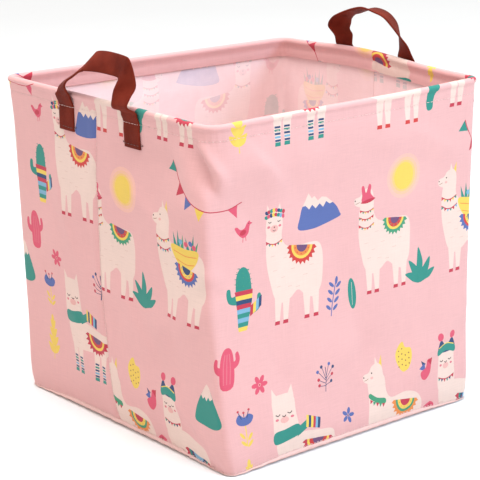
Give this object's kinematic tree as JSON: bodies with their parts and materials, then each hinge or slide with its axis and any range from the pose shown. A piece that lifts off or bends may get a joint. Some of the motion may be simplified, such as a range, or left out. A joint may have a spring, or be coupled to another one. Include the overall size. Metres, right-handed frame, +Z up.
{
  "type": "fabric storage bin",
  "caption": "Square collapsible cloth storage bin with a wire rim, a sewn-on base and two strap handles.",
  "frame": {"origin": "on the floor, under the middle of the bin", "axes": "+Z up; the handles are on the -X and +X walls; the bin faces -Y"},
  "size_m": [0.3366, 0.332, 0.3835],
  "materials": {
    "printed_cloth": "matte printed cotton-linen, coated inside",
    "strap": "matte red-brown imitation leather",
    "spring_wire": "satin",
    "crimp": "satin",
    "light_thread": "matte twisted thread",
    "dark_thread": "matte twisted thread"
  },
  "bodies": {
    "base": {"base_panel": "printed_cloth", "front_panel_wall": "printed_cloth", "back_panel_wall": "printed_cloth", "side_seam_stitching": "light_thread", "base_seam_stitching": "light_thread"},
    "rim": {"front_panel_hem": "printed_cloth", "back_panel_hem": "printed_cloth", "rim_wire": "spring_wire", "wire_ferrule": "crimp", "left_strap_ends": "strap", "right_strap_ends": "strap", "hem_stitching": "light_thread", "left_strap_stitching": "dark_thread", "right_strap_stitching": "dark_thread"},
    "left_handle": {"left_strap_loop": "strap"},
    "right_handle": {"right_strap_loop": "strap"}
  },
  "joints": [
    {"name": "rim_collapse", "type": "slide", "parent": "base", "child": "rim", "axis": [0, 0, 1], "range_m": [-0.23, 0], "deforming": ["front_panel_wall", "back_panel_wall", "side_seam_stitching"]},
    {"name": "left_handle_fold", "type": "hinge", "parent": "rim", "child": "left_handle", "pos_m": [-0.1685, 0, 0.3315], "axis": [0, -1, 0], "range_deg": [-75, 150]},
    {"name": "right_handle_fold", "type": "hinge", "parent": "rim", "child": "right_handle", "pos_m": [0.1685, 0, 0.3315], "axis": [0, 1, 0], "range_deg": [-75, 150]}
  ]
}
